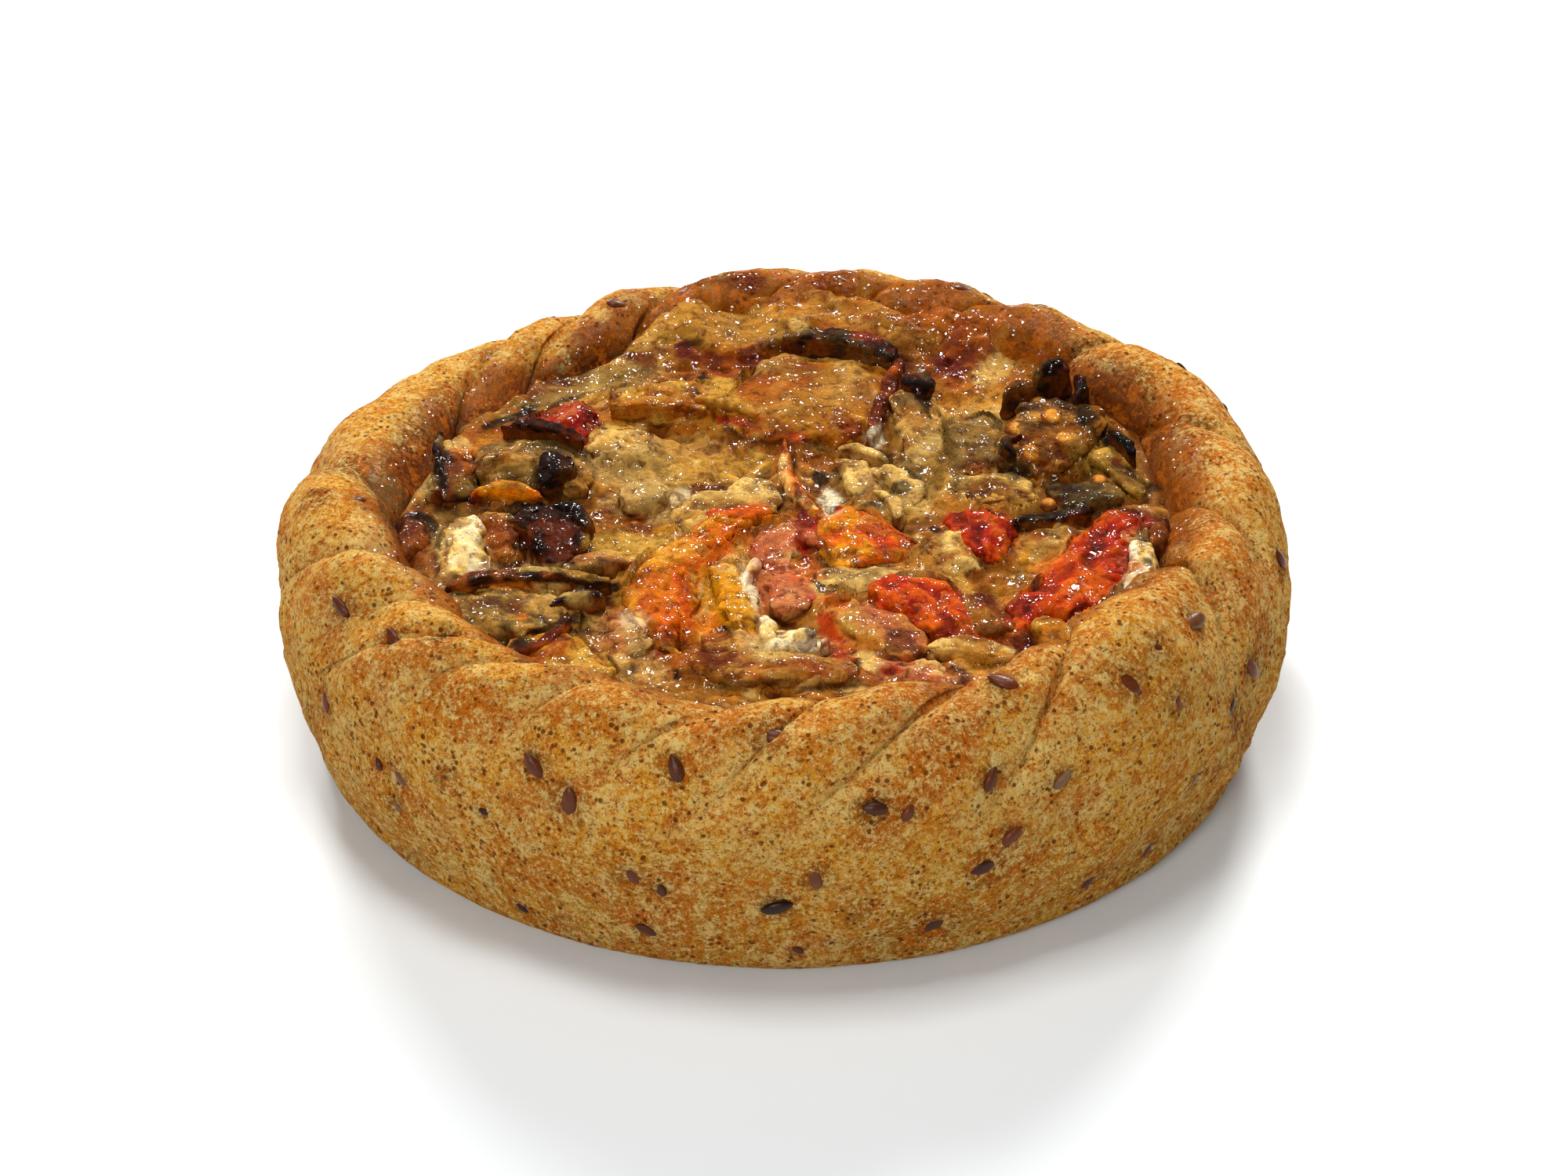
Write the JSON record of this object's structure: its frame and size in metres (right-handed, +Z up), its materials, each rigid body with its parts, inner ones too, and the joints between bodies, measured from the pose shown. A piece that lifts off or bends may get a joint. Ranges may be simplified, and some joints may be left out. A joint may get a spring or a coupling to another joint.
{
  "type": "savoury vegetable tart",
  "caption": "Round open savoury tart: a crimped wholemeal crust with linseeds holds baked cheese topped with roast aubergine, tomato and onion pieces.",
  "frame": {"origin": "centre of the flat underside, on the surface that the tart stands on", "axes": "+Z up out of the open top; +X to the right and -Y towards the viewer of the reference view"},
  "size_m": [0.1496, 0.1504, 0.0437],
  "materials": {
    "crust": "wholemeal pastry, browned on the folds, matt and floury",
    "filling": "baked cheese, golden, wet",
    "aubergine": "roast aubergine flesh, oily",
    "skin": "dark aubergine skin, charred and glossy",
    "golden": "aubergine under melted cheese, oily",
    "tomato": "roast tomato, glossy",
    "amber": "orange tomato and rind, glossy",
    "onion": "soft onion, translucent",
    "cheese": "white cheese curd"
  },
  "bodies": {
    "root": {"crust": "crust", "filling": "filling", "aubergine_slab": "golden", "aubergine_slab_skin": "skin", "aubergine_slab_side": "skin", "aubergine_fold_back": "aubergine", "aubergine_stub": "aubergine", "aubergine_flesh": "aubergine", "aubergine_seedy": "aubergine", "aubergine_stem": "aubergine", "aubergine_fibrous": "aubergine", "aubergine_grey": "aubergine", "aubergine_curl": "skin", "aubergine_tan": "golden", "tomato_right": "tomato", "tomato_small": "tomato", "tomato_orange": "amber", "tomato_glossy": "tomato", "tomato_flap": "tomato", "tomato_amber_long": "amber", "tomato_amber_short": "amber", "tomato_front": "tomato", "tomato_back": "tomato", "tomato_strip": "tomato", "tomato_dark": "tomato", "onion_clear": "onion", "onion_tan": "onion", "onion_wedge_left": "onion", "onion_wedge_right": "onion", "onion_dark_right": "onion", "onion_cream_right": "onion", "onion_cream_left": "onion", "aubergine_skin_front": "skin", "onion_amber": "amber", "aubergine_slice": "aubergine", "aubergine_char": "skin", "aubergine_rind": "amber", "aubergine_skin_left": "skin", "aubergine_amber": "amber", "aubergine_tip": "aubergine", "aubergine_slice_front": "aubergine", "aubergine_ridge_front": "skin", "aubergine_roll": "aubergine", "aubergine_tan_slice": "golden", "aubergine_pale": "golden", "aubergine_lump": "aubergine", "onion_mauve": "onion", "cheese_curd": "cheese"}
  },
  "joints": []
}
